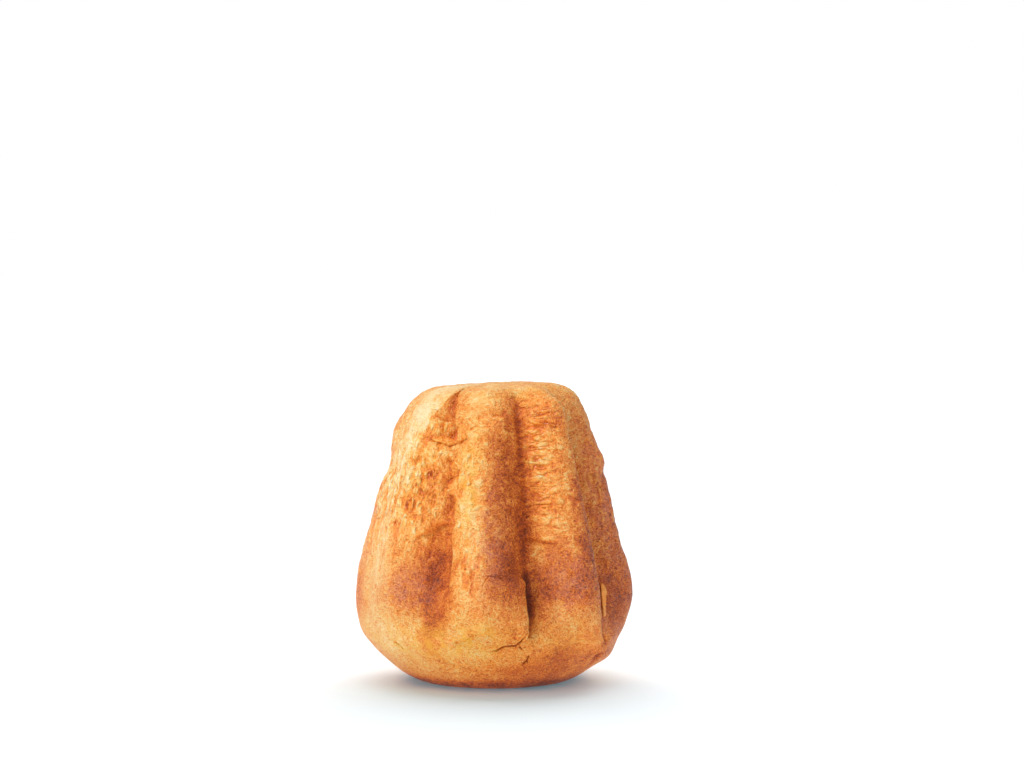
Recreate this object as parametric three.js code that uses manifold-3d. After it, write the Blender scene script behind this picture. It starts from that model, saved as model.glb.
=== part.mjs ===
// A mini pandoro: a small star-shaped cake of rich yeast dough, baked upside down in a fluted tin.
// It stands on the dome that rose past the tin's rim, so the small end of the star is on top.
// Millimetres, +Z up, origin on the floor under the middle of the cake, the shown side facing -Y.
// An azimuth is in degrees from the shown side, growing towards +X.

import * as THREE from "three";
import { ImprovedNoise } from "three/addons/math/ImprovedNoise.js";
import { mergeVertices } from "three/addons/utils/BufferGeometryUtils.js";
import Module from "manifold-3d";

const { degToRad, radToDeg, smoothstep } = THREE.MathUtils;

// The outline through a lobe's ridge
const HEIGHT = 98;
const FOOT_RADIUS = 23;
const DOME_ROUNDING = 8;
const DOME_LIFT = 1;
const BELLY_RADIUS = 46;
const BELLY_HEIGHT = 30;
const BELLY_FLANK = 16;
const BELLY_ROLL = 7;
const BELLY_ROLL_INSET = 1.1;
const SHOULDER_RADIUS = 32.2;
const SHOULDER_HEIGHT = 83;
const SHOULDER_LEAN = 2;
const SHOULDER_RISE = 7.5;
const SHOULDER_ROUNDING = 9;
const CROWN_RADIUS = 18;
const CROWN_RISE = 0.6;
const CROWN_TILT = 0.035;

// The star: eight lobes parted by grooves that die out on the dome
const LOBES = 8;
const LOBE_PITCH = 360 / LOBES;
const FIRST_LOBE_AZIMUTH = -4;
const LOBE_REACH = [0, 0.3, 0, -0.5, 0.4, -0.3, 0, -0.4];
const LOBE_FULLNESS = 1.5;
const GROOVE_SOFTNESS = 0.4;
const GROOVE_DEPTH = 9.5;
const GROOVE_SHARE = [1, 1, 0.95, 1.05, 1, 0.9, 1, 0.85];
const GROOVE_FOOT_HEIGHT = 15;
const GROOVE_DEEPEST_HEIGHT = 35;
const GROOVE_SHALLOWING = 0.0975;

// Swellings and hollows that the dough kept from the oven, as soft mounds on the star:
// half-widths in degrees across and millimetres up, and how far each stands proud
const MOUNDS = [
  { name: "lip over the pinched fold", azimuth: -38, height: 90.5, across: 9, tall: 2.2, proud: 0.8 },
  { name: "pinched fold", azimuth: -34, height: 83.5, across: 10, tall: 3.8, proud: -2.4 },
  { name: "roll under the fold", azimuth: -30, height: 75, across: 9, tall: 3.6, proud: 0.9 },
  { name: "ledge on the left lobe", azimuth: -36, height: 53, across: 10, tall: 3, proud: 0.8 },
  { name: "hollow under the ledge", azimuth: -32, height: 42, across: 8, tall: 7, proud: -1.3 },
  { name: "swollen toe of the front lobe", azimuth: 6, height: 30, across: 8, tall: 10, proud: 1.5 },
  { name: "cleft beside the toe", azimuth: 18, height: 32, across: 4, tall: 11, proud: -2.4 },
  { name: "roll under the toe", azimuth: -12, height: 17, across: 12, tall: 3.5, proud: 0.6 },
  { name: "dimple on the front lobe", azimuth: -2, height: 88, across: 7, tall: 2.5, proud: -0.8 },
  { name: "fold below the right groove", azimuth: 56, height: 13, across: 3.5, tall: 6, proud: -1.2 },
  { name: "right side's swelling", azimuth: 86, height: 73, across: 18, tall: 5, proud: 1.2 },
  { name: "right side's hollow", azimuth: 84, height: 49, across: 16, tall: 8, proud: -0.9 },
  { name: "left side's swelling", azimuth: -94, height: 82, across: 16, tall: 4.5, proud: 1 },
  { name: "left side's hollow", azimuth: -94, height: 71, across: 18, tall: 5, proud: -1.2 },
  { name: "left side's low belly", azimuth: -88, height: 17, across: 26, tall: 9, proud: 1 },
  { name: "right side's low belly", azimuth: 78, height: 10, across: 22, tall: 3.5, proud: 1.2 },
  { name: "back ledge", azimuth: 152, height: 58, across: 11, tall: 3, proud: 0.9 },
  { name: "hollow under the back ledge", azimuth: 150, height: 47, across: 8, tall: 7, proud: -1.3 },
  { name: "back toe", azimuth: -172, height: 29, across: 9, tall: 9, proud: 1.4 },
  { name: "cleft beside the back toe", azimuth: -160, height: 33, across: 4, tall: 10, proud: -2.2 },
  { name: "back pinch", azimuth: -118, height: 84, across: 10, tall: 4, proud: -1.9 },
];

// The crust's slow waves
const SKIN_WAVE_HEIGHT = 0.45;
const SKIN_WAVE_LENGTH = 7.5;
const FLAT_FOOT_RISE = 6;

// Cracks torn in the dome as it rose, drawn from their middle as points across and up
const CRACK_WIDTH = 0.9;
const CRACK_DEPTH = 2.4;
const CRACK_BLADE_LENGTH = 14;
const CRACKS = [
  {
    azimuth: 6,
    height: 18,
    points: [[-7, -3.4], [-3.6, -3], [-0.6, -2.1], [2.2, -1.4], [4.2, 1.2], [6.4, 3.6]],
  },
  { azimuth: 15, height: 11, points: [[-1, -1.8], [0.2, 0.2], [1, 1.8]] },
];

// A loose flake of crust that stands in the groove on the right, drawn as points out of it and up
const FLAKE = {
  azimuth: 64,
  height: 30,
  inset: 6.2,
  thickness: 1.2,
  points: [[-3, -5.5], [1, -4.4], [2, 3.3], [1.2, 5.5], [-3, 4.4]],
};

// How finely the surface is faceted
const COLUMNS_PER_LOBE = 12;
const ROWS = 54;
const ON_AXIS = 1e-6;
const WELD = 1e-3;

// Profile points from the foot's edge, over the dome, the wall and the shoulder, to the crown's middle.
function outline() {
  const path = new THREE.Path();
  path.moveTo(FOOT_RADIUS, 0);
  path.bezierCurveTo(
    FOOT_RADIUS + DOME_ROUNDING,
    DOME_LIFT,
    BELLY_RADIUS,
    BELLY_HEIGHT - BELLY_FLANK,
    BELLY_RADIUS,
    BELLY_HEIGHT,
  );
  path.quadraticCurveTo(
    BELLY_RADIUS,
    BELLY_HEIGHT + BELLY_ROLL / 2,
    BELLY_RADIUS - BELLY_ROLL_INSET,
    BELLY_HEIGHT + BELLY_ROLL,
  );
  path.lineTo(SHOULDER_RADIUS, SHOULDER_HEIGHT);
  path.bezierCurveTo(
    SHOULDER_RADIUS - SHOULDER_LEAN,
    SHOULDER_HEIGHT + SHOULDER_RISE,
    CROWN_RADIUS + SHOULDER_ROUNDING,
    HEIGHT - 2 * CROWN_RISE,
    CROWN_RADIUS,
    HEIGHT - CROWN_RISE,
  );
  path.lineTo(0, HEIGHT);
  return path.getSpacedPoints(ROWS);
}

const OUTLINE = outline();

// Radius of a lobe's ridge at a height on the dome or the wall.
function ridgeRadiusAt(height) {
  const above = OUTLINE.findIndex((point) => point.y > height);
  const low = OUTLINE[above - 1];
  const high = OUTLINE[above];
  return THREE.MathUtils.mapLinear(height, low.y, high.y, low.x, high.x);
}

// Depth of a groove below the ridges at a height, on a ring of a given ridge radius.
function grooveDepth(height, ridgeRadius) {
  const opening = smoothstep(height, GROOVE_FOOT_HEIGHT, GROOVE_DEEPEST_HEIGHT);
  const shallower = GROOVE_SHALLOWING * Math.max(0, height - GROOVE_DEEPEST_HEIGHT);
  const overCrown = Math.min(1, ridgeRadius / CROWN_RADIUS) ** 2;
  return (GROOVE_DEPTH - shallower) * opening * overCrown;
}

// How far a point lies from the round outline: in towards its groove, and by its own lobe's reach.
function starOffset(azimuth, height, ridgeRadius) {
  const turns = (azimuth - FIRST_LOBE_AZIMUTH) / LOBE_PITCH;
  const nearest = Math.round(turns);
  const towardsGroove = 2 * Math.abs(turns - nearest);
  const pointed = towardsGroove ** LOBE_FULLNESS;
  const rounded = (1 - Math.cos(Math.PI * towardsGroove)) / 2;
  const drawnIn = THREE.MathUtils.lerp(pointed, rounded, GROOVE_SOFTNESS);
  const share = GROOVE_SHARE[THREE.MathUtils.euclideanModulo(Math.floor(turns), LOBES)];
  const fading = smoothstep(height, 0, BELLY_HEIGHT) * Math.min(1, ridgeRadius / CROWN_RADIUS);
  const reach = LOBE_REACH[THREE.MathUtils.euclideanModulo(nearest, LOBES)];
  return reach * (1 - drawnIn) * fading - share * grooveDepth(height, ridgeRadius) * drawnIn;
}

// How far the swellings and hollows move a point out.
function moundOffset(azimuth, height) {
  let offset = 0;
  for (const mound of MOUNDS) {
    const turn = THREE.MathUtils.euclideanModulo(azimuth - mound.azimuth + 180, 360) - 180;
    const distance = Math.hypot(turn / mound.across, (height - mound.height) / mound.tall);
    offset += mound.proud * Math.exp(-(distance ** 2));
  }
  return offset;
}

const noise = new ImprovedNoise();

// The crust's waves and mounds at a point, still at the foot so that it stays flat.
function skinOffset(point, azimuth, height) {
  const wave = noise.noise(
    point.x / SKIN_WAVE_LENGTH,
    point.y / SKIN_WAVE_LENGTH,
    point.z / SKIN_WAVE_LENGTH,
  );
  const rise = smoothstep(height, 0, FLAT_FOOT_RISE);
  return rise * (SKIN_WAVE_HEIGHT * wave + moundOffset(azimuth, height));
}

// The whole cake, turned as a plain round and then drawn in to the star.
function cakeGeometry() {
  const grooveStart = degToRad(FIRST_LOBE_AZIMUTH + LOBE_PITCH / 2);
  const profile = [new THREE.Vector2(0, 0), ...OUTLINE];
  const round = new THREE.LatheGeometry(profile, LOBES * COLUMNS_PER_LOBE, grooveStart);
  round.rotateX(Math.PI / 2);
  const positions = round.getAttribute("position");
  const normals = round.getAttribute("normal");
  const point = new THREE.Vector3();
  const normal = new THREE.Vector3();
  for (let i = 0; i < positions.count; i++) {
    point.fromBufferAttribute(positions, i);
    normal.fromBufferAttribute(normals, i);
    const height = point.z;
    const ridgeRadius = Math.hypot(point.x, point.y);
    if (ridgeRadius > ON_AXIS) {
      const azimuth = radToDeg(Math.atan2(point.x, -point.y));
      const scale = 1 + starOffset(azimuth, height, ridgeRadius) / ridgeRadius;
      point.x *= scale;
      point.y *= scale;
      point.addScaledVector(normal, skinOffset(point, azimuth, height));
    }
    point.z += CROWN_TILT * point.x * smoothstep(height, SHOULDER_HEIGHT - SHOULDER_ROUNDING, HEIGHT);
    positions.setXYZ(i, point.x, point.y, point.z);
  }
  return round;
}

// Turns a flat-drawn geometry so that its +Z looks out of the crust, and sets it there.
function setOnCrust(geometry, azimuth, height, inset) {
  const turn = degToRad(azimuth);
  const outward = new THREE.Vector3(Math.sin(turn), -Math.cos(turn), 0);
  const across = new THREE.Vector3(Math.cos(turn), Math.sin(turn), 0);
  const up = new THREE.Vector3(0, 0, 1);
  const placing = new THREE.Matrix4().makeBasis(across, up, outward);
  placing.setPosition(outward.multiplyScalar(ridgeRadiusAt(height) - inset).setZ(height));
  return geometry.applyMatrix4(placing);
}

// A blade of the crack's zigzag outline, widest in the middle, that reaches its depth into the crust.
function crackBlade({ azimuth, height, points }) {
  const edge = (side) => points.map(([across, up], i) => {
    const along = (i + 0.5) / points.length;
    const opening = side * CRACK_WIDTH / 2 * Math.sin(Math.PI * along);
    return new THREE.Vector2(across + opening / 2, up - opening);
  });
  const shape = new THREE.Shape([...edge(1), ...edge(-1).reverse()]);
  const blade = new THREE.ExtrudeGeometry(shape, { depth: CRACK_BLADE_LENGTH, bevelEnabled: false });
  return setOnCrust(blade, azimuth, height, CRACK_DEPTH);
}

// A pointed sliver, rooted in the groove and leaning out of it.
function flakeGeometry({ azimuth, height, inset, thickness, points }) {
  const shape = new THREE.Shape(points.map(([out, up]) => new THREE.Vector2(out, up)));
  const sliver = new THREE.ExtrudeGeometry(shape, { depth: thickness, bevelEnabled: false });
  sliver.rotateY(-Math.PI / 2);
  return setOnCrust(sliver, azimuth, height, inset);
}

const manifold = await Module();
manifold.setup();

// A closed geometry as a solid that can be joined and cut.
function solid(geometry) {
  geometry.deleteAttribute("normal");
  geometry.deleteAttribute("uv");
  const welded = mergeVertices(geometry, WELD);
  return new manifold.Manifold(new manifold.Mesh({
    numProp: 3,
    vertProperties: new Float32Array(welded.getAttribute("position").array),
    triVerts: new Uint32Array(welded.getIndex().array),
  }));
}

// A solid's surface as a geometry, with the middle of its box over the origin.
function surface(body) {
  const { vertProperties, triVerts } = body.getMesh();
  const geometry = new THREE.BufferGeometry();
  geometry.setAttribute("position", new THREE.BufferAttribute(vertProperties, 3));
  geometry.setIndex(new THREE.BufferAttribute(triVerts, 1));
  geometry.computeBoundingBox();
  const middle = geometry.boundingBox.getCenter(new THREE.Vector3());
  geometry.translate(-middle.x, -middle.y, 0);
  geometry.computeVertexNormals();
  return geometry;
}

let cake = solid(cakeGeometry()).add(solid(flakeGeometry(FLAKE)));
for (const crack of CRACKS) cake = cake.subtract(solid(crackBlade(crack)));

const crust = new THREE.MeshStandardMaterial({ color: "#d98a3c", roughness: 0.6, metalness: 0 });
const pandoro = new THREE.Mesh(surface(cake), crust);
pandoro.name = "pandoro";

const group = new THREE.Group();
group.add(pandoro);

export default group;
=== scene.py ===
import math

import bmesh
import bpy
import numpy as np
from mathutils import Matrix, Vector, geometry, noise


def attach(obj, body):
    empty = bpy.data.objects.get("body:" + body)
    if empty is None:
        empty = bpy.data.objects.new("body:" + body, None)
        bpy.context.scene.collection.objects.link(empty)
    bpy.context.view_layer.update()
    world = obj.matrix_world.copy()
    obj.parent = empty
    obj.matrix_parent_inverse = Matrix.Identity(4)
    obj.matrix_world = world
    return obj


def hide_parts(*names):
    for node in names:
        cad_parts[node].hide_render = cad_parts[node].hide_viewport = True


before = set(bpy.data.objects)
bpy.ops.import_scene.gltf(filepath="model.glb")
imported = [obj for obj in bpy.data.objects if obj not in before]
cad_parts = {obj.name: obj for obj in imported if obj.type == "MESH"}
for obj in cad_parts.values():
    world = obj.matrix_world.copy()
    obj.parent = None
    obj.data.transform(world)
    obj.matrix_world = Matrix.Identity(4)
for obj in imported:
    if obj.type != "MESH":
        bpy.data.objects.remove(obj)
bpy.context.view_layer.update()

# The cake's body: one piece of rich yeast dough, risen and baked the other way up in a fluted tin.
# The tin gave the eight lobes and the grooves between them. The dome rose free past the tin's rim,
# and the cake now stands on it, so the narrow end of the star is on top.

# Sizes are in mm. Azimuths are in degrees round the axis, from 0 at the front to 90 at the right.
MM = 0.001
HEIGHT = 98
FOOT_RADIUS = 23
DOME_ROUNDING = 8
DOME_LIFT = 1
BELLY_RADIUS = 46
BELLY_HEIGHT = 30
BELLY_FLANK = 16
BELLY_RISE = 9
SHOULDER_RADIUS = 32.2
SHOULDER_HEIGHT = 83
SHOULDER_LEAN = 2
SHOULDER_RISE = 7.5
SHOULDER_ROUNDING = 9
CROWN_RADIUS = 18
CROWN_RISE = 0.6
CROWN_TILT = 0.035
LOBES = 8
LOBE_PITCH = 360 / LOBES
FIRST_LOBE_AZIMUTH = -4
LOBE_FULLNESS = 1.25
GROOVE_SOFTNESS = 0.3
GROOVE_DEPTH = 9.5
GROOVE_FOOT_HEIGHT = 15
GROOVE_DEEPEST_HEIGHT = 35
GROOVE_SHALLOWING = 0.0975
COLUMNS_PER_LOBE = 12
DOME_RINGS = 15
WALL_RINGS = 19
SHOULDER_RINGS = 9
CROWN_RING_RADII = (14, 10, 6, 2.5)
FOOT_RING_RADII = (17, 10, 3)
FOOT_TOLERANCE = 0.01
ROUNDING_LEVELS = 2


def bezier(knot_1, handle_1, handle_2, knot_2, rings):
    """Points of (radius, height) along one stretch of the outline, its first knot left out."""
    ends = [Vector((x, y, 0)) for x, y in (knot_1, handle_1, handle_2, knot_2)]
    return [(p.x, p.y) for p in geometry.interpolate_bezier(*ends, rings + 1)[1:]]


foot_edge = (FOOT_RADIUS, 0)
belly = (BELLY_RADIUS, BELLY_HEIGHT)
shoulder = (SHOULDER_RADIUS, SHOULDER_HEIGHT)
crown_edge = (CROWN_RADIUS, HEIGHT - CROWN_RISE)
outline = [foot_edge]
outline += bezier(
    foot_edge,
    (FOOT_RADIUS + DOME_ROUNDING, DOME_LIFT),
    (BELLY_RADIUS, BELLY_HEIGHT - BELLY_FLANK),
    belly,
    DOME_RINGS,
)
outline += bezier(
    belly,
    (BELLY_RADIUS, BELLY_HEIGHT + BELLY_RISE),
    (SHOULDER_RADIUS + SHOULDER_LEAN, SHOULDER_HEIGHT - SHOULDER_RISE),
    shoulder,
    WALL_RINGS,
)
outline += bezier(
    shoulder,
    (SHOULDER_RADIUS - SHOULDER_LEAN, SHOULDER_HEIGHT + SHOULDER_RISE),
    (CROWN_RADIUS + SHOULDER_ROUNDING, HEIGHT - 2 * CROWN_RISE),
    crown_edge,
    SHOULDER_RINGS,
)
outline += [(radius, HEIGHT - CROWN_RISE * radius / CROWN_RADIUS) for radius in CROWN_RING_RADII]


def smooth(value, low, high):
    """0 below low, 1 above high, and a soft step between them."""
    step = np.clip((value - low) / (high - low), 0, 1)
    return step * step * (3 - 2 * step)


def groove_depth(ridge_radius, height):
    """How deep a groove is in mm where the ridges have this radius and height."""
    opening = smooth(height, GROOVE_FOOT_HEIGHT, GROOVE_DEEPEST_HEIGHT)
    shallower = GROOVE_SHALLOWING * np.maximum(height - GROOVE_DEEPEST_HEIGHT, 0)
    over_crown = np.minimum(ridge_radius / CROWN_RADIUS, 1) ** 2
    return (GROOVE_DEPTH - shallower) * opening * over_crown


def towards_groove(azimuth):
    """How far an azimuth lies on the way from its ridge, 0, to its groove, 1."""
    turns = (azimuth - FIRST_LOBE_AZIMUTH) / LOBE_PITCH
    return 2 * np.abs(turns - np.round(turns))


def drawn_in(share):
    """The part of a groove's depth that is reached this share of the way from ridge to groove."""
    pointed = share ** LOBE_FULLNESS
    rounded = (1 - np.cos(np.pi * share)) / 2
    return pointed + (rounded - pointed) * GROOVE_SOFTNESS


bpy.ops.object.select_all(action="DESELECT")
bpy.ops.mesh.primitive_circle_add(
    vertices=LOBES * COLUMNS_PER_LOBE,
    radius=FOOT_RADIUS * MM,
    rotation=(0, 0, math.radians(FIRST_LOBE_AZIMUTH)),
)
cake = bpy.context.object
cake.name = cake.data.name = "cake"
bpy.ops.object.transform_apply(location=True, rotation=True, scale=True)
bpy.ops.object.mode_set(mode="EDIT")
bpy.ops.mesh.select_mode(type="VERT")
bpy.ops.mesh.select_all(action="SELECT")
for lower, upper in zip(outline, outline[1:]):
    rise = (upper[1] - lower[1]) * MM
    bpy.ops.mesh.extrude_edges_move(TRANSFORM_OT_translate={"value": (0, 0, rise)})
    mesh = bmesh.from_edit_mesh(cake.data)
    ring = [vertex for vertex in mesh.verts if vertex.select]
    for step in range(COLUMNS_PER_LOBE // 2 + 1):
        share = step * 2 / COLUMNS_PER_LOBE
        for vertex in ring:
            azimuth = math.degrees(math.atan2(vertex.co.x, -vertex.co.y))
            vertex.select_set(bool(abs(towards_groove(azimuth) - share) < 1 / COLUMNS_PER_LOBE))
        mesh.select_flush(False)
        radii = [
            ring_radius - groove_depth(ring_radius, ring_height) * drawn_in(share)
            for ring_radius, ring_height in (lower, upper)
        ]
        factor = radii[1] / radii[0]
        bpy.ops.transform.resize(
            value=(factor, factor, 1),
            center_override=(0, 0, upper[1] * MM),
        )
    for vertex in ring:
        vertex.select_set(True)
    mesh.select_flush(True)
bpy.ops.mesh.merge(type="CENTER")

mesh = bmesh.from_edit_mesh(cake.data)
bpy.ops.mesh.select_all(action="DESELECT")
for vertex in mesh.verts:
    vertex.select_set(vertex.co.z < FOOT_TOLERANCE * MM)
mesh.select_flush(True)
for outer, inner in zip((FOOT_RADIUS, *FOOT_RING_RADII), FOOT_RING_RADII):
    bpy.ops.mesh.extrude_edges_move()
    bpy.ops.transform.resize(value=(inner / outer, inner / outer, 1), center_override=(0, 0, 0))
bpy.ops.mesh.merge(type="CENTER")
bpy.ops.mesh.select_all(action="SELECT")
bpy.ops.mesh.normals_make_consistent(inside=False)
bpy.ops.object.mode_set(mode="OBJECT")

subdivision = cake.modifiers.new("Rounding", "SUBSURF")
subdivision.levels = subdivision.render_levels = ROUNDING_LEVELS
bpy.ops.object.modifier_apply(modifier=subdivision.name)

# Swellings and hollows that the dough kept from the oven: azimuth and height of the middle, half-width
# in degrees, half-height, and rise.
MOUNDS = (
    ("roll under the fold", -30, 75, 9, 3.6, 0.8),
    ("pocket high in the left groove", -28.5, 74.5, 2.6, 1.4, -1.1),
    ("pocket below it", -25.5, 68.8, 2.6, 1.3, -1.2),
    ("long pocket in the left groove", -24.5, 59.5, 2.4, 3.4, -1.1),
    ("bulge over the ledge", -35, 56, 6, 4, 0.9),
    ("hollow under the ledge", -31, 44, 8, 7, -1.2),
    ("cleft beside the toe", 18, 31.5, 3.4, 9, -1.2),
    ("valley between the left lobe and the front one", -28, 33, 6, 12, -1.0),
    ("dimple on the front lobe", -2, 88, 7, 2.5, -0.7),
    ("right side's swelling", 86, 73, 18, 5, 1.2),
    ("right side's nick", 84, 68.5, 14, 1.6, -0.9),
    ("right side's hollow", 84, 49, 16, 8, -0.9),
    ("left side's swelling", -94, 82, 16, 4.5, 1),
    ("left side's hollow", -94, 71, 18, 5, -1.2),
    ("left side's low belly", -88, 17, 26, 9, 1),
    ("right side's low belly", 78, 10, 22, 3.5, 1.2),
    ("hollow under the back ledge", 150, 47, 8, 7, -1.3),
    ("cleft beside the back toe", -160, 33, 4, 10, -1.8),
    ("back pinch", -120, 84.5, 9, 4, -1.1),
)
# How far each lobe stands out past the usual one, and how deep each groove is as a share of the usual
# depth: from the front lobe, and the groove on its right, round by the right.
LOBE_REACH = (0, 0.3, 0, -0.5, 0.4, -0.3, 0, -0.4)
GROOVE_SHARE = (1, 1.3, 0.95, 1.05, 1.2, 0.9, 0.35, 0.85)
# Below this height the relief fades out, so that the foot stays flat.
FLAT_FOOT_RISE = 6

# Flaps: edges where the crust on the left of a path, walking along it, stands proud of the rest.
# The path is in azimuths and heights; then come the rise and how far back it fades, and the depth of
# the hollow at its foot and how far that one reaches.
FLAPS = (
    (
        "toe of the front lobe",
        ((13.8, 17.5), (14.8, 20.5), (14.8, 25), (14.4, 30), (13.6, 36), (12.8, 40)),
        (1.9, 6, 1.1, 2.4),
    ),
    (
        "right edge of the right lobe",
        (
            (56.8, 12.5), (55.5, 15), (52.4, 17.5), (49, 20.5),
            (46.5, 27), (45.6, 45), (45, 60), (44.8, 75), (44.6, 87), (43.5, 95),
        ),
        (2.2, 6, 1.6, 6),
    ),
    (
        "fold below the right lobe's edge",
        ((60.5, 4.5), (58.3, 8), (56.4, 10.9), (56.6, 13.6), (54.5, 17), (51, 19)),
        (0.5, 3, 0.7, 2.5),
    ),
    (
        "right edge of the back lobe",
        ((-176, 14), (-174, 24), (-174, 45), (-174.5, 62), (-175, 78), (-178, 93)),
        (0.8, 2.5, 2.0, 7),
    ),
    (
        "left edge of the front lobe's tongue",
        ((-23, 54), (-21, 47), (-21.3, 38), (-21.8, 31)),
        (0.3, 4, 0.8, 6),
    ),
    (
        "upper edge of the pinched fold",
        ((-26, 87.4), (-33, 87.2), (-39, 88.2), (-45, 89.4)),
        (1.0, 3, 0.6, 1.4),
    ),
    (
        "lower edge of the pinched fold",
        ((-46, 82), (-34.3, 80), (-28.7, 79.2), (-21.6, 80.5), (-14.3, 84.1)),
        (0.8, 3, 0.7, 0.7),
    ),
    ("ledge on the left lobe", ((-41, 49.5), (-35, 52.2), (-30, 54), (-23, 54.5)), (0.7, 4, 0.5, 1.3)),
    (
        "lip under the toe",
        ((-20.5, 15.3), (-16, 18), (-11, 19), (-9, 20.5), (-6, 20.3), (-3, 20.9), (0, 22.8)),
        (0.8, 3, 0.6, 1.6),
    ),
    (
        "crease across the right lobe",
        ((15.5, 50), (22, 49.9), (26, 48.8), (33, 48.3)),
        (0.4, 3, 0.5, 1.2),
    ),
    ("top crease of the front lobe", ((9, 88), (2, 88.6), (-6, 88.2), (-14, 87.2)), (0.3, 3, 0.4, 1.2)),
    ("back ledge", ((136, 53), (142, 55.4), (150, 56.5), (158, 55.5)), (0.9, 4, 0.9, 3.5)),
    ("back toe", ((-166, 16), (-162.6, 20), (-162, 27), (-162.6, 34), (-164.5, 43)), (2.0, 6, 1.2, 3)),
    ("back fold", ((-133, 84), (-124, 81), (-116, 80), (-107, 80.4)), (0.6, 4, 0.35, 1.8)),
    ("back crease", ((96, 62), (104, 61.5), (112, 62.3), (120, 61.6)), (0.5, 3, 0.5, 1.2)),
)
FLAP_EDGE = 0.25
# A flap's hollow is browned over a share of its reach, as painted shade. Its rim is thin and pale, a
# painted highlight, by as much as the flap rises past a height, or by a small share of its rise where
# that is more, and by 1 at most.
CREVICE_SHADE_REACH = 0.5
RIM_HIGHLIGHT_WIDTH = 0.45
RIM_HIGHLIGHT_FROM_RISE = 1
LOW_RIM_HIGHLIGHT = 0.2

# The pinched fold at the top of the left groove: a facet that falls from a ridge on its left to a
# valley on its right, between two paths. They meet in a point on the crown, softened by a small width.
FOLD_RIDGE = ((-49, 79.5), (-46.6, 82), (-43.2, 88.4), (-38, 93.5), (-33.5, 97.4))
FOLD_VALLEY = ((-23, 79.5), (-26, 84), (-27.6, 88), (-29.3, 92), (-33.5, 97.4))
FOLD_DEPTH = 2.4
FOLD_FOOT = (79.5, 82)
FOLD_POINT = 0.1

# Cracks and creases: path, half-width and depth.
CREASES = (
    (
        "crack below the toe",
        ((14.6, 22), (12, 18.5), (9.3, 16.4), (4.6, 16.4), (1.3, 14.9), (-4, 14.4)),
        (0.18, 0.9),
    ),
    ("the crack's branch", ((10.6, 16.3), (12.8, 15.1)), (0.2, 0.8)),
    (
        "bottom of the right groove",
        ((16.5, 40), (18.2, 52), (18.5, 66), (18.6, 80), (18.6, 90), (18.6, 96)),
        (2.0, 0.5),
    ),
    ("bottom of the back groove", ((-163, 44), (-161.6, 60), (-161.5, 76), (-161.5, 94)), (1.5, 0.7)),
    ("fold below the right groove", ((61, 17), (60.5, 14), (60, 11), (61.3, 8), (62.3, 5)), (1.7, 0.9)),
    ("second crack", ((16.2, 13), (15.8, 11.1), (13.1, 9.2)), (0.22, 1.0)),
    ("crease on the dome's left", ((-51, 16.4), (-47.7, 14.6), (-45.8, 13.2)), (0.4, 0.6)),
    ("split in the tongue", ((-11, 42.5), (-9.7, 39.5), (-9.8, 33.9), (-8.6, 31)), (0.25, 0.5)),
    ("curved split", ((-5.2, 32.5), (-4.8, 36), (-2, 39), (2.1, 38.4), (5, 36.8)), (0.2, 0.35)),
    ("fine crack on the front lobe", ((-11, 60.8), (-7, 61.2), (-4.3, 62.5), (0, 62.1)), (0.35, 0.15)),
    ("crease high on the right lobe", ((18.5, 61.1), (24.3, 60.5), (29, 61.3)), (0.7, 0.3)),
    ("back crack", ((168, 14), (172, 16.5), (177, 17), (182, 19.5)), (0.3, 1.3)),
    ("left crack", ((-98, 12), (-93, 14), (-89, 13.4), (-84, 16)), (0.18, 0.8)),
)
# Flaps and creases taper off over this share of their length, but over no more than the longest taper.
# They wander to and fro by the meander, in bends of its length.
TAPER = 0.22
LONGEST_TAPER = 6
MEANDER = 0.35
MEANDER_LENGTH = 2.6
MEANDER_SEEDS = (11, 12)
# The mesh is made finer this close to flaps and creases, and once more close to the narrow cracks.
FINER_WITHIN = 1.0
CRACK_WIDTH = 0.6
FINEST_WITHIN = 0.6

# Where the skin shrank into upright strands, where it is lumpy and where it lies in level ripples:
# middle, half-width, half-height and strength from 0 to 1, as for the mounds.
WRINKLED = (
    ("left lobe", -46, 65, 22, 20, 1),
    ("left side", -82, 62, 20, 20, 0.8),
    ("pinched fold", -35, 85, 10, 6, 0.5),
    ("front lobe", -13, 68, 9, 24, 0.5),
    ("front lobe's tongue", -12, 40, 6, 9, 0.6),
    ("right side", 88, 62, 18, 22, 0.35),
    ("back right lobe", 134, 64, 16, 16, 0.7),
    ("back lobe", 178, 66, 14, 18, 0.5),
    ("back left lobe", -137, 62, 18, 18, 0.9),
)
LUMPY = (
    ("front", 0, 70, 40, 32, 1),
    ("right", 80, 66, 50, 32, 1),
    ("back", 165, 70, 50, 32, 1),
    ("left", -100, 68, 60, 32, 1),
)
RIPPLED = (
    ("left flank of the right lobe", 27, 78, 9, 12, 1),
    ("middle of the right lobe", 29, 58, 10, 12, 0.7),
    ("foot of the right lobe", 40, 17, 18, 8, 0.25),
    ("top of the right lobe", 34, 89, 12, 7, 0.6),
    ("top of the front lobe", -1, 90, 12, 7, 0.5),
    ("flank of the back right lobe", 117, 77, 8, 10, 0.8),
    ("flank of the back lobe", 163, 74, 7, 11, 0.8),
    ("flank of the back left lobe", -153, 76, 7, 10, 0.8),
)
# Skin relief: the lumps' size across and along z, whether sharp valleys part them, how far they rise,
# how much paler their crests are, and where they lie. The paler crests and browner valleys are partly the
# skin's own tone and partly painted highlight and painted shade.
SKIN = (
    ("lumps", (4, 4.5), True, 0.5, 0.08, LUMPY),
    ("strands", (2.6, 8), False, 1.2, 0.42, WRINKLED),
    ("ripples", (7, 2.3), True, 0.9, 0.2, RIPPLED),
)
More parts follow.
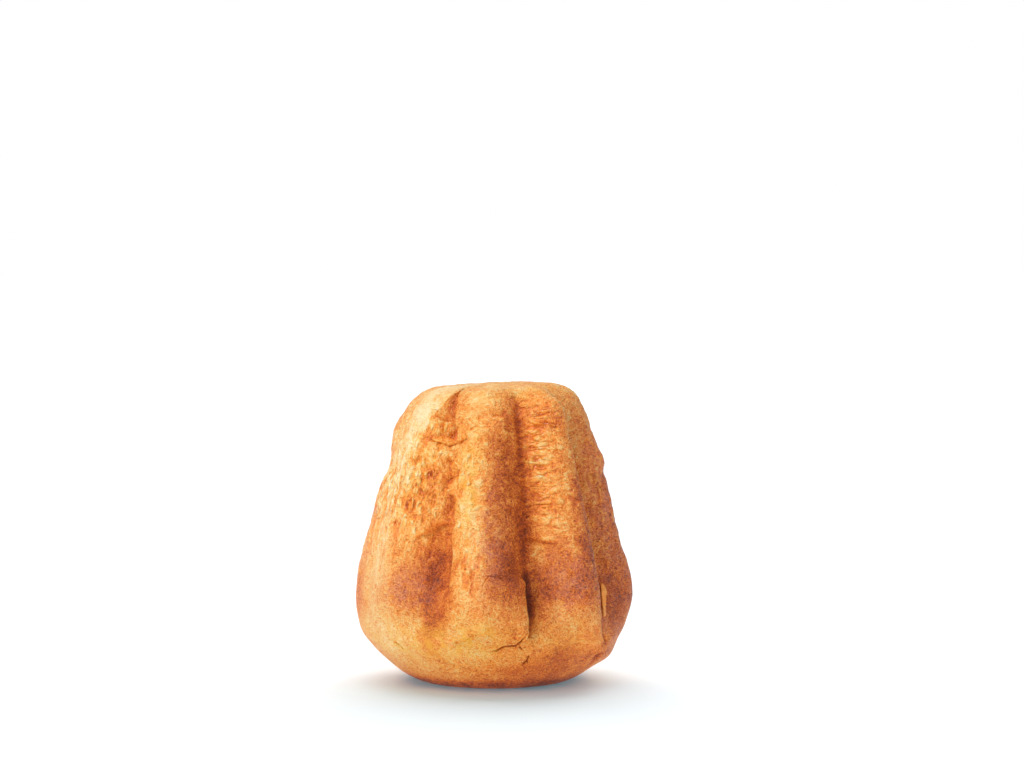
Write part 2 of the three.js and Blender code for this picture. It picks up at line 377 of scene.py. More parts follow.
# Lumps are the sum of a large and a small noise, each with its share, and the small one is finer by a
# factor. They rise and fall from a middle level, and get no paler past a level above it. There are none
# where a patch is fainter than the faintest.
CREASED_SHARES = (1.5, 0.8)
SMOOTH_SHARES = (0.8, 0.35)
SMALL_NOISE = 2.1
MIDDLE_LEVEL = 0.4
PALEST_LEVEL = 0.3
FAINTEST = 0.03
# Slow waves all over the crust: their length and rise. A seed moves each kind of wave elsewhere in the
# noise, by a shift along x, y and z.
WAVE_LENGTH = 7.5
WAVE_RISE = 0.4
WAVE_SEED = 1
SEED_SHIFT = (1, 2.7, 5.3)


def on_the_crust(points):
    """Azimuth in degrees, height in mm and distance from the axis in mm of points in mm."""
    across, back, height = points.T
    return np.degrees(np.arctan2(across, -back)), height, np.maximum(np.hypot(across, back), 1)


def turn_between(azimuth, other):
    """The turn from other to azimuth in degrees, from -180 to 180."""
    return (azimuth - other + 180) % 360 - 180


def beside_path(path, azimuth, height, radius):
    """How far in mm points lie from a path, on which side (1 is left), and how far along it, 0 to 1."""
    middle = path[len(path) // 2][0]
    across = np.radians(turn_between(azimuth, middle)) * radius
    nearest = np.full(len(azimuth), np.inf)
    side = np.zeros(len(azimuth))
    along = np.zeros(len(azimuth))
    for i, ((start_azimuth, start_height), (end_azimuth, end_height)) in enumerate(zip(path, path[1:])):
        start = np.radians(turn_between(start_azimuth, middle)) * radius
        run = np.radians(end_azimuth - start_azimuth) * radius
        rise = end_height - start_height
        to_x, to_y = across - start, height - start_height
        share = np.clip((to_x * run + to_y * rise) / (run ** 2 + rise ** 2), 0, 1)
        distance = np.hypot(to_x - share * run, to_y - share * rise)
        closer = distance < nearest
        nearest[closer] = distance[closer]
        side[closer] = np.sign(run * to_y - rise * to_x)[closer]
        along[closer] = ((i + share) / (len(path) - 1))[closer]
    return nearest, side, along


def towards_ends(path, along):
    """1 along a path, and fading to 0 at its two ends."""
    length = sum(
        math.hypot(math.radians(end[0] - start[0]) * BELLY_RADIUS, end[1] - start[1])
        for start, end in zip(path, path[1:])
    )
    taper = min(TAPER, LONGEST_TAPER / length)
    return smooth(along, 0, taper) * smooth(1 - along, 0, taper)


def refine(paths, reach):
    """Subdivides the cake's faces whose middle lies within reach, in mm, of one of the paths."""
    centres = np.empty(len(cake.data.polygons) * 3)
    cake.data.polygons.foreach_get("center", centres)
    places = on_the_crust(centres.reshape(-1, 3) / MM)
    chosen = np.zeros(len(cake.data.polygons), bool)
    for path in paths:
        chosen |= beside_path(path, *places)[0] < reach
    bpy.ops.object.mode_set(mode="EDIT")
    bpy.ops.mesh.select_mode(type="FACE")
    bpy.ops.mesh.select_all(action="DESELECT")
    bpy.ops.object.mode_set(mode="OBJECT")
    cake.data.polygons.foreach_set("select", chosen)
    bpy.ops.object.mode_set(mode="EDIT")
    bpy.ops.mesh.subdivide(number_cuts=1)
    bpy.ops.object.mode_set(mode="OBJECT")


refine([path for _, path, _ in FLAPS + CREASES] + [FOLD_RIDGE, FOLD_VALLEY], FINER_WITHIN)
refine([path for _, path, (width, _) in CREASES if width < CRACK_WIDTH], FINEST_WITHIN)

count = len(cake.data.vertices)
points = np.empty(count * 3)
normals = np.empty(count * 3)
cake.data.vertices.foreach_get("co", points)
points = points.reshape(-1, 3) / MM
azimuth, height, radius = on_the_crust(points)
turns = (azimuth - FIRST_LOBE_AZIMUTH) / LOBE_PITCH
groove_share = np.array(GROOVE_SHARE)[np.floor(turns).astype(int) % LOBES]
lobe_reach = np.array(LOBE_REACH)[np.round(turns).astype(int) % LOBES]
share = drawn_in(towards_groove(azimuth))
further = lobe_reach * (1 - share) * smooth(height, 0, BELLY_HEIGHT) * smooth(radius, 0, CROWN_RADIUS)
further += (1 - groove_share) * groove_depth(radius, height) * share
points[:, :2] *= (1 + further / radius)[:, None]
cake.data.vertices.foreach_set("co", (points * MM).ravel())
cake.data.update()
cake.data.vertex_normals.foreach_get("vector", normals)
normals = normals.reshape(-1, 3)


def patches(table, at_azimuth=azimuth, at_height=height, sharpness=1):
    """The sum of a table's patches at the cake's points or other places, with edges of this sharpness."""
    total = np.zeros(count)
    for _, middle_azimuth, middle_height, across, tall, amount in table:
        turn = turn_between(at_azimuth, middle_azimuth)
        away = (turn / across) ** 2 + ((at_height - middle_height) / tall) ** 2
        total += amount * np.exp(-away ** sharpness)
    return total


def strength(table):
    """How strongly a table's patches show at each of the cake's points, and at most 1."""
    return np.minimum(patches(table), 1)


def waves(length, seed):
    """Smooth noise from about -1 to 1 at each of the cake's points, in lumps of this length."""
    places = points / length + seed * np.array(SEED_SHIFT)
    return np.array([noise.noise(Vector(place)) for place in places])


def swells(size, creased, where):
    """Lumps from about 0 to 1 at the cake's points where there are any, with sharp valleys if creased."""
    lumps = np.zeros(count)
    for i in np.flatnonzero(where > FAINTEST):
        place = Vector(points[i] / (size[0], size[0], size[1]))
        large, small = noise.noise(place), noise.noise(place * SMALL_NOISE)
        if creased:
            lumps[i] = min(CREASED_SHARES[0] * abs(large) + CREASED_SHARES[1] * abs(small), 1)
        else:
            lumps[i] = MIDDLE_LEVEL + SMOOTH_SHARES[0] * large + SMOOTH_SHARES[1] * small
    return lumps


offset = patches(MOUNDS) + WAVE_RISE * waves(WAVE_LENGTH, WAVE_SEED)
# Paler crests and browner valleys: partly the skin's tone, partly painted highlight and painted shade.
painted_crest_light_and_tone = np.zeros(count)
for _, size, creased, rise, paling, table in SKIN:
    where = strength(table)
    lumps = swells(size, creased, where) - MIDDLE_LEVEL
    offset += where * rise * lumps
    painted_crest_light_and_tone += where * paling * np.minimum(lumps, PALEST_LEVEL)

shaken = (
    azimuth + np.degrees(MEANDER * waves(MEANDER_LENGTH, MEANDER_SEEDS[0]) / radius),
    height + MEANDER * waves(MEANDER_LENGTH, MEANDER_SEEDS[1]),
    radius,
)
# Painted shade in the flaps' hollows and in the creases, and a painted highlight on the flaps' rims.
crevice_shade = np.zeros(count)
rim_highlight = np.zeros(count)
for _, path, (rise, fade, drop, reach) in FLAPS:
    distance, side, along = beside_path(path, *shaken)
    ends = towards_ends(path, along)
    proud = (1 + np.tanh(side * distance / FLAP_EDGE)) / 2
    hollow = ends * (1 - proud) * drop
    offset += ends * rise * proud * np.exp(-(distance / fade) ** 2)
    offset -= hollow * np.exp(-(distance / reach) ** 2)
    inner = np.exp(-(distance / (CREVICE_SHADE_REACH * reach)) ** 2)
    crevice_shade = np.maximum(crevice_shade, np.minimum(hollow, 1) * inner)
    thin = np.clip(rise - RIM_HIGHLIGHT_FROM_RISE, LOW_RIM_HIGHLIGHT * rise, 1)
    rim_highlight = np.maximum(rim_highlight, ends * proud * thin * np.exp(-(distance / RIM_HIGHLIGHT_WIDTH) ** 2))
to_ridge, ridge_side, _ = beside_path(FOLD_RIDGE, *shaken)
to_valley, valley_side, _ = beside_path(FOLD_VALLEY, *shaken)
fold = (1 + np.tanh(valley_side * to_valley / FLAP_EDGE)) / 2
fold = fold * (ridge_side < 0) * smooth(height, *FOLD_FOOT)
offset -= FOLD_DEPTH * fold * to_ridge / (to_ridge + to_valley + FOLD_POINT)
for _, path, (width, depth) in CREASES:
    distance, _, along = beside_path(path, *shaken)
    gap = towards_ends(path, along) * np.exp(-(distance / width) ** 2)
    offset -= depth * gap
    crevice_shade = np.maximum(crevice_shade, gap * min(depth, 1))

offset *= smooth(height, 0, FLAT_FOOT_RISE)
points += normals * offset[:, None]
points[:, 2] += CROWN_TILT * points[:, 0] * smooth(height, SHOULDER_HEIGHT - SHOULDER_ROUNDING, HEIGHT)
cake.data.vertices.foreach_set("co", (points * MM).ravel())
cake.data.update()
bpy.ops.object.shade_smooth()

# How far each place is browned, from 0, pale, to 1, almost burnt: a golden ground, and patches that are
# paler (below 0) or browner. Most of it is the oven's browning, but it also holds painted shade in
# pockets, crevices, grooves, clefts and near the floor, and painted highlights on rims and crests.
GOLDEN = 0.428
BROWNING_AND_SHADE_PATCHES = (
    ("pale top of the left lobe", -50, 90, 16, 8, -0.3),
    ("pale left lobe", -66, 74, 22, 20, -0.28),
    ("left lobe's middle", -40, 64, 10, 12, 0.05),
    ("left lobe's left edge", -68, 40, 18, 18, -0.16),
    # The pockets in the left groove are browned as painted shade.
    ("pocket high in the left groove", -28.5, 74.5, 2.8, 1.7, 0.2),
    ("pocket below it", -25.5, 68.8, 2.8, 1.6, 0.22),
    ("long pocket in the left groove", -24.5, 58.5, 2.8, 6, 0.24),
    ("bulge over the ledge", -33, 57.5, 4, 4, -0.14),
    ("left lobe's hollow", -30, 43.5, 8, 7, 0.23),
    ("left lobe's brown patch", -39, 34, 8, 7, 0.13),
    ("left lobe's foot", -29, 27, 6, 12, 0.3),
    ("left lobe's valley", -27, 37, 6, 9, 0.1),
    ("dome's left", -50, 17, 20, 8, -0.21),
    ("dome's middle", -14, 16, 12, 6, -0.09),
    # Browner low on the dome, partly as painted shade near the floor.
    ("dome's bottom", 2, 7, 16, 5, 0.12),
    ("front lobe's top", -5, 93, 14, 6, -0.12),
    ("front lobe's yellow side", -12, 62, 6, 8, -0.03),
    ("front lobe's tongue", -13, 31, 6, 7, -0.06),
    ("front lobe's burnt edge", 4, 40, 8, 8, 0.17),
    ("lip under the toe", -9, 22, 9, 2.4, -0.08),
    ("right lobe's middle", 32, 68, 9, 14, -0.08),
    ("right lobe's left flank", 25.5, 81, 7, 8, -0.06),
    ("right lobe's belly", 34, 36, 15, 9, 0.21),
    ("beside the cleft", 21.5, 32, 5, 9, 0.19),
    ("right lobe's right edge", 43, 55, 5, 20, 0.22),
    ("right side", 86, 55, 22, 26, 0.16),
    ("right side's belly", 72, 27, 20, 11, 0.3),
    # Browner low on the dome's right, partly as painted shade near the floor.
    ("dome's right", 36, 8, 26, 7, 0.23),
    ("right side's foot", 70, 12, 10, 6, 0.15),
    ("left side's foot", -84, 30, 10, 8, 0.14),
    ("left side's belly", -106, 36, 14, 9, 0.24),
    ("back left lobe's top", -135, 90, 16, 8, -0.14),
    ("back left lobe's belly", -140, 30, 14, 9, 0.26),
    ("back lobe's top", 176, 92, 16, 7, -0.1),
    ("hollow under the back ledge", 150, 46, 8, 7, 0.3),
    ("back right lobe's belly", 130, 30, 14, 9, 0.26),
)
# Browning that follows the lobes and grooves, in the same terms, with sharper and less ragged edges.
# Much of it is painted shade: in the grooves and clefts at the front and back, on the front lobe's right
# flank, which faces away from the lamp and is partly its own brown, and just past the right lobe's
# right edge, in that edge's shadow.
FLANK_BROWNING_AND_SHADE = (
    ("front lobe's left flank", -13, 66, 9, 28, -0.14),
    ("front lobe's right flank", 8, 54, 11, 28, 0.215),
    ("right groove", 15.8, 55, 3.4, 24, 0.09),
    ("top of the right groove", 16.3, 84, 2.6, 13, 0.12),
    ("top of the front lobe's right flank", 11, 86, 5, 9, 0.1),
    ("cleft beside the toe", 16.7, 30.5, 2.6, 8.5, 0.52),
    ("far side of the right lobe's edge", 55, 50, 7.5, 30, 0.27),
    ("fold below the right lobe's edge", 59.5, 11, 4, 6, 0.14),
    ("gap behind the flake", 66, 28, 3, 6, -0.02),
    ("back right groove", 108, 56, 5, 24, 0.22),
    ("back lobe's flank", -168, 60, 6, 26, 0.2),
    ("cleft beside the back toe", -160, 32, 3, 12, 0.36),
    ("back left groove", -116, 58, 5, 22, 0.24),
)
PATCH_SHARPNESS = 1.4
FLANK_SHARPNESS = 2.5
# The patches' edges are ragged: waves of each length shift them by up to each reach.
RAGGEDNESS = ((8, 3), (2.5, 1.6))
RAGGED_SEEDS = (21, 22)
# What else browns or pales the crust: painted shade in crevices, a painted highlight on rims, the fold's
# lower and upper facet, browner partly as painted shade, and the heights between which they meet, painted
# shade at the foot, darker towards the floor, and the heights over which it fades, the crown, and glossy
# skin.
CREVICE_SHADE_BROWNING = 0.32
RIM_HIGHLIGHT_PALING = 0.45
FOLD_BROWNING_AND_SHADE = (0.1, 0.19)
FOLD_FACETS_MEET = (86.5, 88.5)
BASE_SHADE_BROWNING = 0.4
BASE_SHADE_FADES = (1.5, 5.5)
PALE_CROWN = -0.11
GLOSS_BROWNING = 0.035
# Glossy skin loses this share of the fine grain.
GRAIN_LOSS = 0.7
# Where gas bubbles left pits.
PITTED = (
    ("right lobe", 43, 48, 9, 22, 1),
    ("top of the right lobe", 38, 86, 14, 8, 0.7),
    ("right side", 80, 52, 16, 24, 0.9),
    ("front lobe's edge", 9, 46, 6, 8, 0.7),
    ("back right lobe", 126, 55, 18, 22, 0.8),
    ("back lobe", -178, 50, 12, 18, 0.6),
    ("left side", -100, 40, 14, 14, 0.5),
)
# Where a pinkish sheen is painted on tight skin: a painted reflection of the white room.
PAINTED_SHEEN_SHARE = 0.1
PAINTED_SHEEN = (
    ("left lobe's brown patch", -41, 33, 11, 8, 1),
    ("front lobe's ridge", -4, 48, 7, 16, 0.9),
    ("right lobe's belly", 34, 36, 12, 12, 0.7),
    ("right lobe's right edge", 47, 48, 4, 26, 0.2),
    ("right side", 84, 55, 20, 30, 0.7),
    ("back right lobe", 132, 40, 14, 14, 0.8),
    ("back lobe's ridge", 178, 50, 9, 16, 0.9),
    ("back left lobe", -138, 40, 14, 14, 0.9),
    ("left side", -92, 45, 14, 18, 0.7),
)
# Where the egg in the dough makes the crust yellower.
YOLK_SHARE = 0.3
YOLKY = (
    ("dome's left", -34, 16, 34, 6.5, 1),
    ("lip under the toe", -8, 20, 12, 6, 0.6),
    ("front lobe's yellow side", -13, 68, 6, 16, 1),
    ("left lobe", -40, 74, 18, 18, 0.3),
    ("crown", 30, 98, 50, 4, 0.6),
    ("foot of the right lobe", 34, 17, 14, 6, 0.3),
    ("back right lobe", 134, 66, 14, 18, 0.6),
    ("back left lobe", -137, 64, 16, 18, 0.6),
    ("back of the dome", 170, 16, 60, 9, 0.7),
)
ragged_azimuth = azimuth.copy()
ragged_height = height.copy()
for length, reach in RAGGEDNESS:
    ragged_azimuth += np.degrees(reach * waves(length, RAGGED_SEEDS[0]) / radius)
    ragged_height += reach * waves(length, RAGGED_SEEDS[1])
# Browning, with painted shade and painted highlights among it.
browning_and_painted_light = GOLDEN + patches(BROWNING_AND_SHADE_PATCHES, ragged_azimuth, ragged_height, PATCH_SHARPNESS)
# Browning along the lobes and grooves, much of it painted shade.
browning_and_painted_light += patches(FLANK_BROWNING_AND_SHADE, sharpness=FLANK_SHARPNESS)
# Painted shade darkens the crevices, and a painted highlight pales the rims.
browning_and_painted_light += CREVICE_SHADE_BROWNING * crevice_shade - RIM_HIGHLIGHT_PALING * rim_highlight - painted_crest_light_and_tone
# The fold's facet faces away from the lamp: it is browned partly as painted shade, the upper part more.
upper_facet = smooth(height, *FOLD_FACETS_MEET)
browning_and_painted_light += fold * (FOLD_BROWNING_AND_SHADE[0] + (FOLD_BROWNING_AND_SHADE[1] - FOLD_BROWNING_AND_SHADE[0]) * upper_facet)
# Painted shade near the floor: the foot is browner towards the bottom.
browning_and_painted_light += BASE_SHADE_BROWNING * (1 - smooth(height, *BASE_SHADE_FADES))
browning_and_painted_light += PALE_CROWN * smooth(height, SHOULDER_HEIGHT + SHOULDER_RISE, HEIGHT)
glossing = strength(WRINKLED + RIPPLED)
browning_and_painted_light += GLOSS_BROWNING * glossing
for name, values in (
    ("browning_and_painted_light", browning_and_painted_light),
    ("wrinkling", strength(WRINKLED)),
    ("rippling", strength(RIPPLED)),
    ("pitting", strength(PITTED)),
    ("lumping", strength(LUMPY)),
    ("graining", 1 - GRAIN_LOSS * glossing),
    ("glossing", glossing),
    # A painted sheen.
    ("bloom", PAINTED_SHEEN_SHARE * strength(PAINTED_SHEEN)),
    ("yolk", YOLK_SHARE * strength(YOLKY)),
):
    cake.data.attributes.new(name, "FLOAT", "POINT").data.foreach_set("value", values)


def linear(hex_colour):
    """An sRGB hex colour as linear RGBA."""
    parts = [int(hex_colour[i:i + 2], 16) / 255 for i in (1, 3, 5)]
    return [c / 12.92 if c <= 0.04045 else ((c + 0.055) / 1.055) ** 2.4 for c in parts] + [1]


def node(owner, kind, settings=(), inputs=()):
    """Adds a node to a material or world, with the properties given, and sets or links its inputs."""
    made = owner.node_tree.nodes.new("ShaderNode" + kind)
    for name, value in dict(settings).items():
        setattr(made, name, value)
    for name, value in dict(inputs).items():
        if isinstance(value, bpy.types.NodeSocket):
            owner.node_tree.links.new(value, made.inputs[name])
        else:
            made.inputs[name].default_value = value
    return made


# Baked crust: egg and butter brown unevenly, so its colour runs from cream to chestnut. The skin has a
# satin gloss where it shrank into wrinkles or ripples, and is duller and finely grained elsewhere.
CRUST_COLOURS = (
    (0.0, "#f2d6a4"),
    (0.2, "#eaba6e"),
    (0.4, "#e99036"),
    (0.6, "#d16516"),
    (0.8, "#a54209"),
    (1.0, "#6a2404"),
)
# The painted sheen's colour, standing for the white room's reflection on tight skin.
PAINTED_SHEEN_COLOUR = "#dcb0a4"
YOLK_COLOUR = "#ecac2e"
CRUST_IOR = 1.42
DULL_ROUGHNESS = 0.42
SATIN_ROUGHNESS = 0.22
crust = bpy.data.materials.new("baked crust")
crust.use_nodes = True
crust_shader = crust.node_tree.nodes["Principled BSDF"]
place = node(crust, "TexCoord").outputs["Object"]
total = node(crust, "Attribute", {"attribute_name": "browning_and_painted_light"}).outputs["Fac"]
relief = 0.0
# Grain, mottling and the finer wrinkles between those in the mesh: their width across and along z,
# whether sharp valleys part them, where they lie, how far they rise, and how much paler they get. Where
# they rise, the paler crests and browner valleys are partly painted highlight and painted shade.
# A rise below 0 turns the valleys into ridges, and a paling below 0 makes the lumps browner and those
# ridges paler, as painted glints.
# The skin's real grain is about 0.2 mm, too fine to show in the render, so it is drawn 0.45 mm wide.
GRAIN_DETAIL = 2
NOISE_MIDDLE = 0.5
NOISE_RANGE = (0.3, 0.7)
VALLEY_RANGE = (0, 0.2)
VALLEY_DISTORTION = 0.4
GRAIN = (
    (5.0, 5.0, False, "", 0.0, 0.08),
    (1.2, 1.2, False, "", 0.1, 0.06),
    (0.45, 0.45, False, "graining", 0.2, 0.17),
    (1.2, 3.0, False, "wrinkling", 0.35, 0.16),
    (1.7, 2.6, True, "wrinkling", -0.22, -0.1),
    (7.6, 2.4, True, "rippling", 0.4, 0.16),
    (3.2, 3.6, True, "lumping", 0.2, 0.09),
    (1.5, 1.0, True, "graining", -0.1, -0.1),
    (1.5, 1.5, True, "pitting", 0.15, 0.1),
)
for width, tall, creased, where, rise, paling in GRAIN:
    spread = node(
        crust,
        "Mapping",
        inputs={"Vector": place, "Scale": (1 / (width * MM), 1 / (width * MM), 1 / (tall * MM))},
    ).outputs["Vector"]
    lumps = node(
        crust,
        "TexNoise",
        inputs={
            "Vector": spread,
            "Scale": 1,
            "Detail": GRAIN_DETAIL,
            "Distortion": VALLEY_DISTORTION * creased,
        },
    ).outputs["Fac"]
    lowest, highest = NOISE_RANGE
    if creased:
        lumps = node(
            crust,
            "Math",
            {"operation": "SUBTRACT"},
            {0: lumps, 1: NOISE_MIDDLE},
        ).outputs["Value"]
        lumps = node(crust, "Math", {"operation": "ABSOLUTE"}, {0: lumps}).outputs["Value"]
        lowest, highest = VALLEY_RANGE
    level = node(
        crust,
        "MapRange",
        {"clamp": creased},
        {"Value": lumps, "From Min": lowest, "From Max": highest, "To Min": -1, "To Max": 1},
    ).outputs["Result"]
    if where:
        share = node(crust, "Attribute", {"attribute_name": where}).outputs["Fac"]
        level = node(crust, "Math", {"operation": "MULTIPLY"}, {0: level, 1: share}).outputs["Value"]
    total = node(
        crust,
        "Math",
        {"operation": "MULTIPLY_ADD"},
        {0: level, 1: -paling, 2: total},
    ).outputs["Value"]
    relief = node(
        crust,
        "Math",
        {"operation": "MULTIPLY_ADD"},
        {0: level, 1: rise, 2: relief},
    ).outputs["Value"]
# Pits where gas bubbles broke through the skin: their spacing, radius and depth, the share of a cell that
# their flat bottom takes, how much browner they are, as painted shade inside them, and the share of the
# cells that hold one.
PIT_SPACING = 1.4
PIT_RADIUS = 0.34
PIT_DEPTH = 0.35
PIT_BOTTOM = 0.1
PIT_SHADE_BROWNING = 0.23
PIT_SHARE = 0.6
pits = node(crust, "TexVoronoi", inputs={"Vector": place, "Scale": 1 / (PIT_SPACING * MM)})
bowl = node(
    crust,
    "MapRange",
    {"interpolation_type": "SMOOTHSTEP"},
    {
        "Value": pits.outputs["Distance"],
        "From Min": PIT_BOTTOM,
        "From Max": PIT_RADIUS / PIT_SPACING + PIT_BOTTOM,
        "To Min": 1,
        "To Max": 0,
    },
).outputs["Result"]
share = node(crust, "Attribute", {"attribute_name": "pitting"}).outputs["Fac"]
bowl = node(crust, "Math", {"operation": "MULTIPLY"}, {0: bowl, 1: share}).outputs["Value"]
chosen = node(
    crust,
    "Math",
    {"operation": "LESS_THAN"},
    {0: pits.outputs["Color"], 1: PIT_SHARE},
).outputs["Value"]
bowl = node(crust, "Math", {"operation": "MULTIPLY"}, {0: bowl, 1: chosen}).outputs["Value"]
# Painted shade inside the pits.
total = node(
    crust,
    "Math",
    {"operation": "MULTIPLY_ADD"},
    {0: bowl, 1: PIT_SHADE_BROWNING, 2: total},
).outputs["Value"]
relief = node(
    crust,
    "Math",
    {"operation": "MULTIPLY_ADD"},
    {0: bowl, 1: -PIT_DEPTH, 2: relief},
).outputs["Value"]
colour = node(crust, "ValToRGB", inputs={"Fac": total})
ramp = colour.color_ramp
for stop, _ in CRUST_COLOURS[1:-1]:
    ramp.elements.new(stop)
for element, (stop, hex_colour) in zip(ramp.elements, CRUST_COLOURS):
    element.position = stop
    element.color = linear(hex_colour)
# Both tints lie in spots: their attribute, their colour, and the spots' size and shift. The yolk is the
# crust's own colour and the other tint is a painted sheen. Between these levels of the noise a spot goes
# from none of its tint to its peak.
SPOT_DETAIL = 2
SPOT_LEVELS = (0.35, 0.65)
SPOT_PEAK = 2
TINTS = (
    ("yolk", YOLK_COLOUR, 3.5, 40),
    ("bloom", PAINTED_SHEEN_COLOUR, 2.5, 70),
)
skin = colour.outputs["Color"]
for where, hex_colour, size, shift in TINTS:
    spread = node(
        crust,
        "Mapping",
        inputs={"Vector": place, "Scale": [1 / (size * MM)] * 3, "Location": [shift / size] * 3},
    ).outputs["Vector"]
    spots = node(
        crust,
        "TexNoise",
        inputs={"Vector": spread, "Scale": 1, "Detail": SPOT_DETAIL},
    ).outputs["Fac"]
    spots = node(
        crust,
        "MapRange",
        inputs={
            "Value": spots,
            "From Min": SPOT_LEVELS[0],
            "From Max": SPOT_LEVELS[1],
            "To Min": 0,
            "To Max": SPOT_PEAK,
        },
    ).outputs["Result"]
    share = node(crust, "Attribute", {"attribute_name": where}).outputs["Fac"]
    share = node(crust, "Math", {"operation": "MULTIPLY"}, {0: spots, 1: share}).outputs["Value"]
    skin = node(
        crust,
        "Mix",
        {"data_type": "RGBA"},
        {"Factor": share, 6: skin, 7: linear(hex_colour)},
    ).outputs[2]
share = node(crust, "Attribute", {"attribute_name": "glossing"}).outputs["Fac"]
gloss = node(
    crust,
    "MapRange",
    inputs={"Value": share, "To Min": DULL_ROUGHNESS, "To Max": SATIN_ROUGHNESS},
)
bump = node(crust, "Bump", inputs={"Height": relief, "Distance": MM})
crust.node_tree.links.new(skin, crust_shader.inputs["Base Color"])
crust.node_tree.links.new(gloss.outputs["Result"], crust_shader.inputs["Roughness"])
crust.node_tree.links.new(bump.outputs["Normal"], crust_shader.inputs["Normal"])
crust_shader.inputs["IOR"].default_value = CRUST_IOR
cake.data.materials.append(crust)
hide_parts("pandoro")
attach(cake, "root")

# The loose flake: a sliver of the same crust that came off with the tin and stands out of the groove on
# the right. It is held along its right side, and its left side curls up from the groove.

# Its place and size, with its lift at the left and how deep its right side is sunk in the groove.
FLAKE_FOOT = 23.2
FLAKE_LENGTH = 9.8
FLAKE_LEFT = 34.8
FLAKE_WIDTH = 2.3
FLAKE_LIFT = 2.4
FLAKE_SUNK = 0.5
FLAKE_THICKNESS = 0.45
FLAKE_BROWNING = 0.38
# Its outline: how far the foot leans to the right and how wide it is, as shares of the width, and where
# the rounded tip ends. Then the powers of its curl and hold, and how uneven its edges are.
FLAKE_LEAN = 0.3
FLAKE_FOOT_SHARE = 0.25
FLAKE_TIP = 1.06
FLAKE_TIP_SHARPNESS = 2.4
FLAKE_CURL = 1.5
FLAKE_HOLD = 3
FLAKE_UNEVENNESS = 0.2
FLAKE_END_UNEVENNESS = 0.2
FLAKE_WAVES = (2, 9)
FLAKE_SEED = 3
FLAKE_COLUMNS = 6
FLAKE_ROWS = 20
# The y from which rays towards the back find the groove's surface behind the flake.
GROOVE_FRONT = -22
bpy.ops.object.select_all(action="DESELECT")
bpy.ops.mesh.primitive_grid_add(x_subdivisions=FLAKE_COLUMNS, y_subdivisions=FLAKE_ROWS, size=1)
flake = bpy.context.object
flake.name = flake.data.name = "crust_flake"
for vertex in flake.data.vertices:
    across, along = vertex.co.x + 0.5, vertex.co.y + 0.5
    full = FLAKE_FOOT_SHARE + (1 - FLAKE_FOOT_SHARE) * along
    full *= math.sin(math.pi * min(1, FLAKE_TIP_SHARPNESS * (FLAKE_TIP - along)) / 2)
    wave = Vector((FLAKE_WAVES[0] * across, FLAKE_WAVES[1] * along, FLAKE_SEED))
    uneven = FLAKE_UNEVENNESS * noise.noise(wave)
    x = FLAKE_LEFT + FLAKE_WIDTH * (FLAKE_LEAN * (1 - along) + across * (full + uneven))
    z = FLAKE_FOOT + FLAKE_LENGTH * (along + uneven * FLAKE_END_UNEVENNESS)
    in_groove = cake.ray_cast(Vector((x, GROOVE_FRONT, z)) * MM, Vector((0, 1, 0)))[1]
    lift = FLAKE_LIFT * (1 - across) ** FLAKE_CURL * full - FLAKE_SUNK * across ** FLAKE_HOLD
    vertex.co = in_groove - Vector((0, lift * MM, 0))
thickness = flake.modifiers.new("Thickness", "SOLIDIFY")
thickness.thickness = FLAKE_THICKNESS * MM
thickness.offset = 0
bpy.ops.object.modifier_apply(modifier=thickness.name)
bpy.ops.object.mode_set(mode="EDIT")
bpy.ops.mesh.select_all(action="SELECT")
bpy.ops.mesh.normals_make_consistent(inside=False)
bpy.ops.object.mode_set(mode="OBJECT")
bpy.ops.object.shade_smooth()
flake_browning = np.full(len(flake.data.vertices), FLAKE_BROWNING)
flake.data.attributes.new("browning_and_painted_light", "FLOAT", "POINT").data.foreach_set("value", flake_browning)
flake.data.materials.append(crust)
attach(flake, "root")

# The floor: a wide sheet of white paper, seamless to the horizon. It is uncoated, so it has hardly any
# gloss and shows only the light and the cake's shadow.
FLOOR_SIZE = 40
PAPER_COLOUR = "#edf1f3"
PAPER_ROUGHNESS = 0.9
bpy.ops.mesh.primitive_plane_add(size=FLOOR_SIZE)
floor = bpy.context.object
floor.name = "floor"
paper = bpy.data.materials.new("white paper")
paper.use_nodes = True
paper_shader = paper.node_tree.nodes["Principled BSDF"]
paper_shader.inputs["Base Color"].default_value = linear(PAPER_COLOUR)
paper_shader.inputs["Roughness"].default_value = PAPER_ROUGHNESS
floor.data.materials.append(paper)

# The light: a white room, a large soft lamp high at the left, a weaker one overhead, and white cards low
# at the front and at the left light the cake. A lamp high at the back and a fill from above light only
# the paper: their tints make up for the warm light off the cake, so that the shadow is a soft grey pool.
ROOM_LIGHT = 0.55
ROOM_SEEN = 1.0
WHITE = (1, 1, 1)
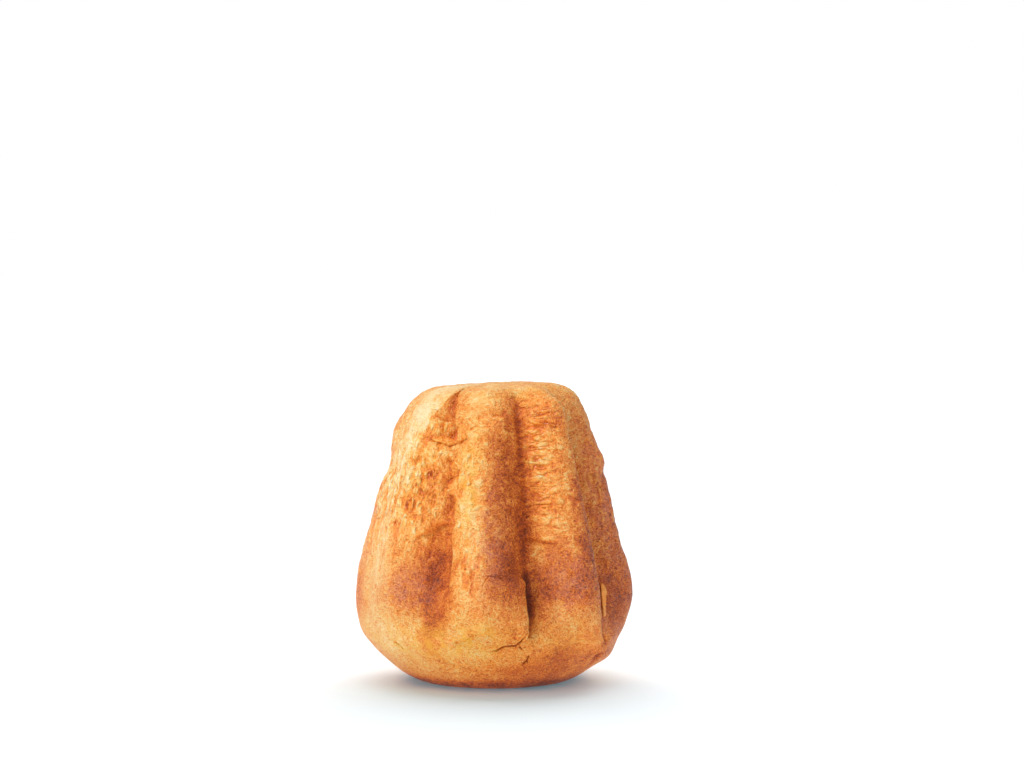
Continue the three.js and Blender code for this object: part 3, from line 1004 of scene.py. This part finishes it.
# Each light's power, the angle that it fills, its azimuth and elevation, what it lights, and its colour.
LIGHTS = (
    ("soft lamp", 2.85, 25, -70, 54, (cake, flake), WHITE),
    ("white card", 1.92, 80, -4, -38, (cake, flake), WHITE),
    ("back lamp", 3.2, 80, 180, 47, (floor,), (1, 0.857, 0.825)),
    ("fill", 0.54, 10, 0, 90, (floor,), (0, 0.8, 1)),
    ("top lamp", 0.8, 60, 0, 90, (cake, flake), WHITE),
    ("left card", 0.9, 60, -45, -45, (cake, flake), WHITE),
)
SHADOWLESS = "fill"
scene = bpy.context.scene
scene.view_settings.view_transform = "Standard"
room = bpy.data.worlds.new("white room")
scene.world = room
room.use_nodes = True
seen = node(room, "LightPath").outputs["Is Camera Ray"]
brightness = node(room, "MapRange", inputs={"Value": seen, "To Min": ROOM_LIGHT, "To Max": ROOM_SEEN})
room.node_tree.nodes["Background"].inputs["Color"].default_value = (*WHITE, 1)
room.node_tree.links.new(
    brightness.outputs["Result"],
    room.node_tree.nodes["Background"].inputs["Strength"],
)
for name, power, angle, lamp_azimuth, elevation, receivers, lamp_colour in LIGHTS:
    bpy.ops.object.light_add(type="SUN")
    lamp = bpy.context.object
    lamp.name = name
    lamp.data.energy = power
    lamp.data.color = lamp_colour
    lamp.data.use_shadow = name != SHADOWLESS
    lamp.data.angle = math.radians(angle)
    lamp.rotation_euler = (math.radians(90 - elevation), 0, math.radians(lamp_azimuth))
    lit = bpy.data.collections.new("lit by the " + name)
    for receiver in receivers:
        lit.objects.link(receiver)
    lamp.light_linking.receiver_collection = lit
    shading = bpy.data.collections.new("in the way of the " + name)
    shading.objects.link(cake)
    lamp.light_linking.blocker_collection = shading

# The camera: a long lens about a metre in front of the cake and a little higher than its top, level
# enough that the crown shows only as a thin strip.
CAMERA_LENS = 100
CAMERA_PLACE = (0, -0.93766, 0.13929)
CAMERA_TARGET = (0.00595, 0, 0.09766)
bpy.ops.object.camera_add(location=CAMERA_PLACE)
camera = bpy.context.object
camera.data.lens = CAMERA_LENS
camera.data.clip_end = FLOOR_SIZE
camera.rotation_euler = (Vector(CAMERA_TARGET) - Vector(CAMERA_PLACE)).to_track_quat("-Z", "Y").to_euler()
bpy.context.scene.camera = camera
